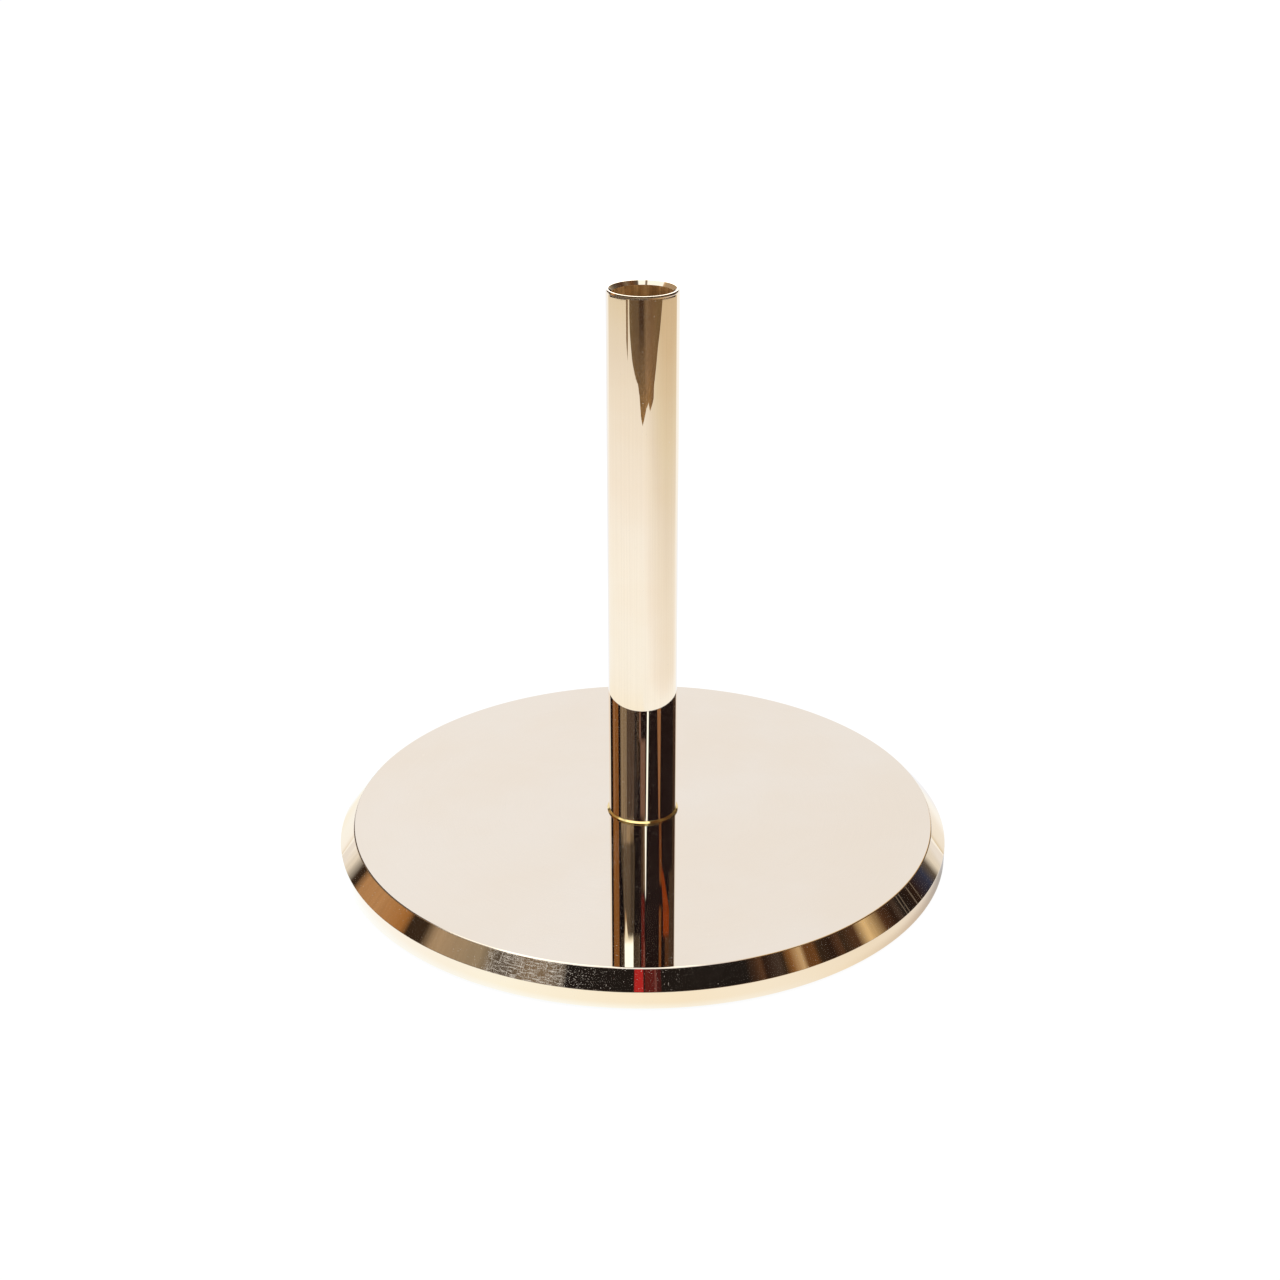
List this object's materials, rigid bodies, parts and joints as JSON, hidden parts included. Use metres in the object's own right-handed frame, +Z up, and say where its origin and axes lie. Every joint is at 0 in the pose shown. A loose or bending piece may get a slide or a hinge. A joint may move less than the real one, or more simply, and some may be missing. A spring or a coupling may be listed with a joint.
{
  "type": "rope barrier stanchion",
  "caption": "Polished round weighted base with a bevelled rim and one open upright socket tube at its centre, for holding a barrier post.",
  "frame": {"origin": "on the floor, under the centre of the round base", "axes": "+Z up along the socket tube; the object is turned about Z, so +X and +Y are any two level directions"},
  "size_m": [0.343, 0.343, 0.3202],
  "materials": {
    "polished_gold": "mirror polished, pale gold plated",
    "yellow_brass": "polished yellow brass",
    "cast_iron": "painted casting",
    "black_rubber": "matte moulded rubber",
    "zinc_steel": "zinc plated"
  },
  "bodies": {
    "root": {"base_cover": "polished_gold", "base_weight": "cast_iron", "floor_ring": "black_rubber", "seat_ring": "yellow_brass", "socket_tube": "polished_gold", "tube_plug": "zinc_steel", "clamp_stud": "zinc_steel", "flat_washer": "zinc_steel", "spring_washer": "zinc_steel", "lock_nut": "zinc_steel"}
  },
  "joints": []
}
